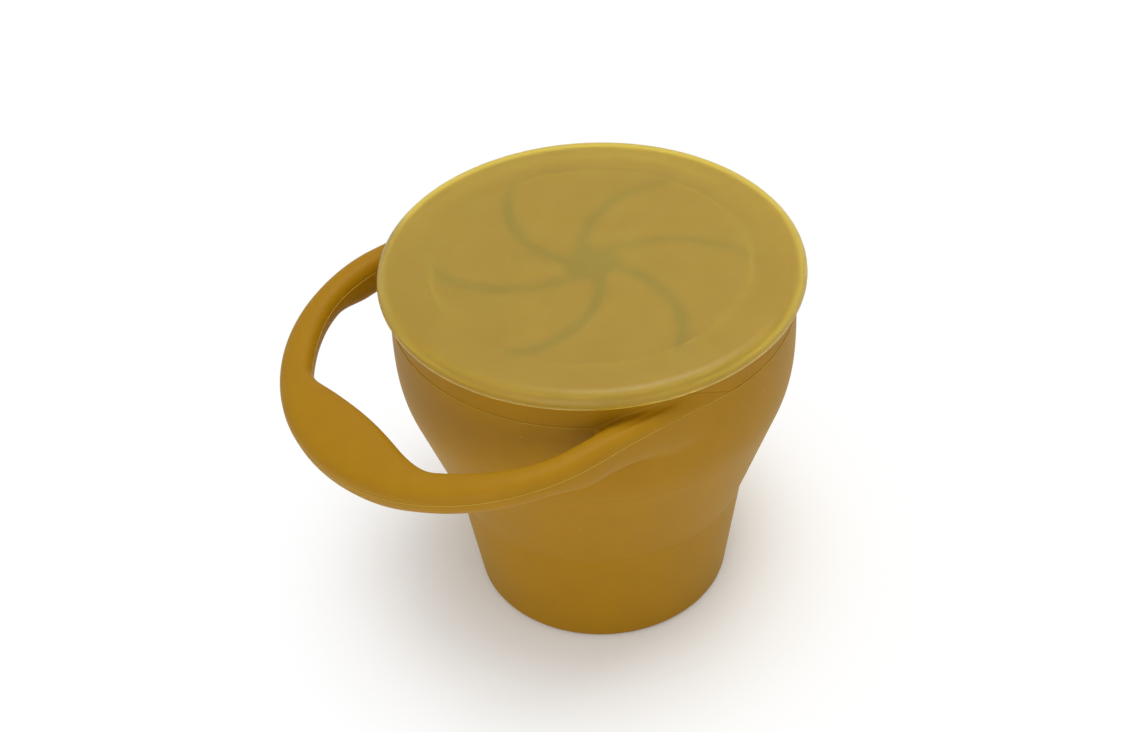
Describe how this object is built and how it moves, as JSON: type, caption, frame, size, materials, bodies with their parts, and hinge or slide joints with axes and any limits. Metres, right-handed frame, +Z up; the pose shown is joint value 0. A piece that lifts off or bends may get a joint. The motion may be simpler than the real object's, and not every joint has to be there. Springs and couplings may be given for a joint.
{
  "type": "toddler snack container",
  "caption": "Collapsible soft silicone snack cup with a moulded loop handle, a spill-proof lid of spiral flaps and a press-on cover lid.",
  "frame": {"origin": "centre of the flat resting face under the cup, on the surface that the cup stands on", "axes": "+Z up along the cup's axis; the loop handle points along -X; Y runs across the handle"},
  "size_m": [0.1192, 0.0926, 0.0883],
  "materials": {
    "cup_silicone": "matte moulded silicone rubber, opaque mustard",
    "flap_silicone": "matte moulded silicone rubber, opaque mustard, thin and flexible",
    "cover_silicone": "matte moulded silicone rubber, milky translucent, paler mustard"
  },
  "bodies": {
    "cup_base": {"lower_cup": "cup_silicone", "fold_band": "cup_silicone"},
    "bowl": {"upper_bowl": "cup_silicone", "loop_handle": "cup_silicone"},
    "flap_lid": {"flap_lid": "flap_silicone"},
    "petal_1": {"petal_1": "flap_silicone"},
    "petal_2": {"petal_2": "flap_silicone"},
    "petal_3": {"petal_3": "flap_silicone"},
    "petal_4": {"petal_4": "flap_silicone"},
    "petal_5": {"petal_5": "flap_silicone"},
    "petal_6": {"petal_6": "flap_silicone"},
    "cover": {"cover_lid": "cover_silicone"}
  },
  "joints": [
    {"name": "collapse", "type": "slide", "parent": "cup_base", "child": "bowl", "axis": [0, 0, -1], "range_m": [0, 0.046], "deforming": ["fold_band"]},
    {"name": "flap_lid_lift", "type": "slide", "parent": "bowl", "child": "flap_lid", "axis": [0, 0, 1], "range_m": [0, 0.05]},
    {"name": "cover_lift", "type": "slide", "parent": "flap_lid", "child": "cover", "axis": [0, 0, 1], "range_m": [0, 0.05]},
    {"name": "petal_1_flex", "type": "hinge", "parent": "flap_lid", "child": "petal_1", "pos_m": [-0.01127, 0.02758, 0.0846], "axis": [0.9257, 0.3783, 0], "range_deg": [0, 60], "stiffness_Nm_per_rad": 0.01},
    {"name": "petal_2_flex", "type": "hinge", "parent": "flap_lid", "child": "petal_2", "pos_m": [-0.02952, 0.00403, 0.0846], "axis": [0.1352, 0.9908, 0], "range_deg": [0, 60], "stiffness_Nm_per_rad": 0.01},
    {"name": "petal_3_flex", "type": "hinge", "parent": "flap_lid", "child": "petal_3", "pos_m": [-0.01825, -0.02355, 0.0846], "axis": [-0.7905, 0.6125, 0], "range_deg": [0, 60], "stiffness_Nm_per_rad": 0.01},
    {"name": "petal_4_flex", "type": "hinge", "parent": "flap_lid", "child": "petal_4", "pos_m": [0.01127, -0.02758, 0.0846], "axis": [-0.9257, -0.3783, 0], "range_deg": [0, 60], "stiffness_Nm_per_rad": 0.01},
    {"name": "petal_5_flex", "type": "hinge", "parent": "flap_lid", "child": "petal_5", "pos_m": [0.02952, -0.00403, 0.0846], "axis": [-0.1352, -0.9908, 0], "range_deg": [0, 60], "stiffness_Nm_per_rad": 0.01},
    {"name": "petal_6_flex", "type": "hinge", "parent": "flap_lid", "child": "petal_6", "pos_m": [0.01825, 0.02355, 0.0846], "axis": [0.7905, -0.6125, 0], "range_deg": [0, 60], "stiffness_Nm_per_rad": 0.01}
  ]
}
